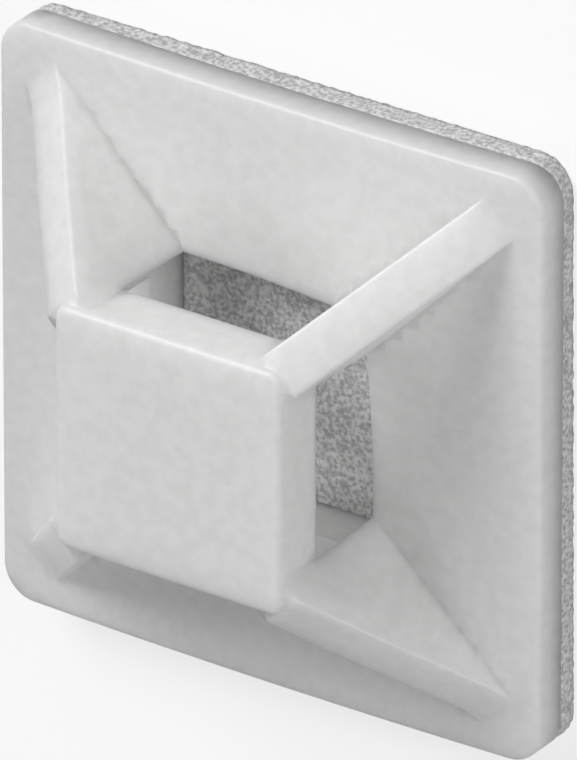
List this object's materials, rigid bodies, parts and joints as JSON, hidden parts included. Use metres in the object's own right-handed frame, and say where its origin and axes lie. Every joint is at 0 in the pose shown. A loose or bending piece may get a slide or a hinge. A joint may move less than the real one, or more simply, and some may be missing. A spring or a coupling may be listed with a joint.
{
  "type": "cable tie mount",
  "caption": "Square self-adhesive cable tie mount: a raised bridge pad on sloping legs, so a tie threads under it from any side, with a foam tape back",
  "frame": {"origin": "centre of the back face of the adhesive foam, which is the bottom of the part's box", "axes": "+Z points away from the wall, out of the bridge pad's front face; +X and +Y run along the plate's sides, and the legs lie on the diagonals"},
  "size_m": [0.028, 0.028, 0.0102],
  "materials": {
    "nylon": "natural milky nylon as moulded, satin, slightly translucent",
    "foam": "pale grey closed-cell foam tape, fine grain, tacky face"
  },
  "bodies": {
    "root": {"mount": "nylon", "foam_pad": "foam"}
  },
  "joints": []
}
